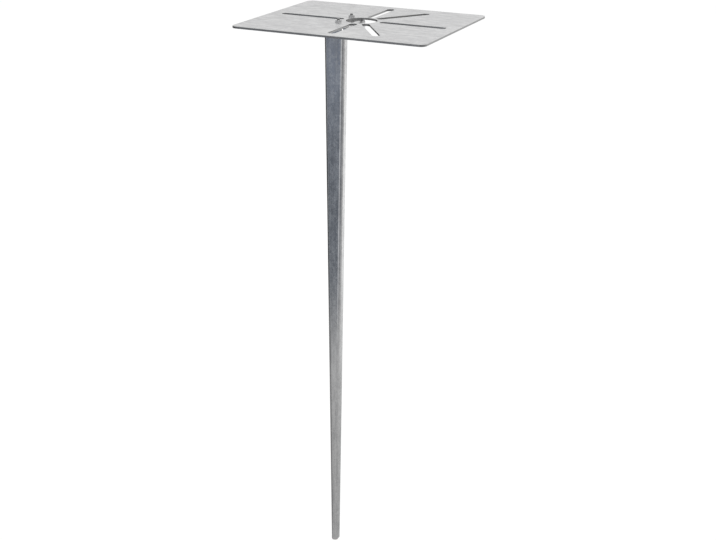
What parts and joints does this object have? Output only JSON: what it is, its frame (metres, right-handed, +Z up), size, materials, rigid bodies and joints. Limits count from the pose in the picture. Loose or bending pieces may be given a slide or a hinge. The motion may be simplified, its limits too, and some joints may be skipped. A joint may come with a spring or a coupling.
{
  "type": "ground spike",
  "caption": "Ground spike of folded steel sheet with a tapered channel blade and a slotted mounting plate bolted on its head.",
  "frame": {"origin": "centre of the mounting plate's top face, on the axis of its centre hole", "axes": "+Z up out of the plate, +X along the plate's long side, the blade hangs down along -Z"},
  "size_m": [0.24, 0.2, 0.714],
  "materials": {
    "plate_zinc": "fine-brushed galvanised sheet, satin",
    "blade_zinc": "galvanised sheet with soft mottling and drag marks",
    "fastener_zinc": "zinc-plated screw steel"
  },
  "bodies": {
    "root": {"mounting_plate": "plate_zinc", "spike_blade": "blade_zinc", "bolt_front": "fastener_zinc", "bolt_rear": "fastener_zinc", "nut_front": "fastener_zinc", "nut_rear": "fastener_zinc"}
  },
  "joints": []
}
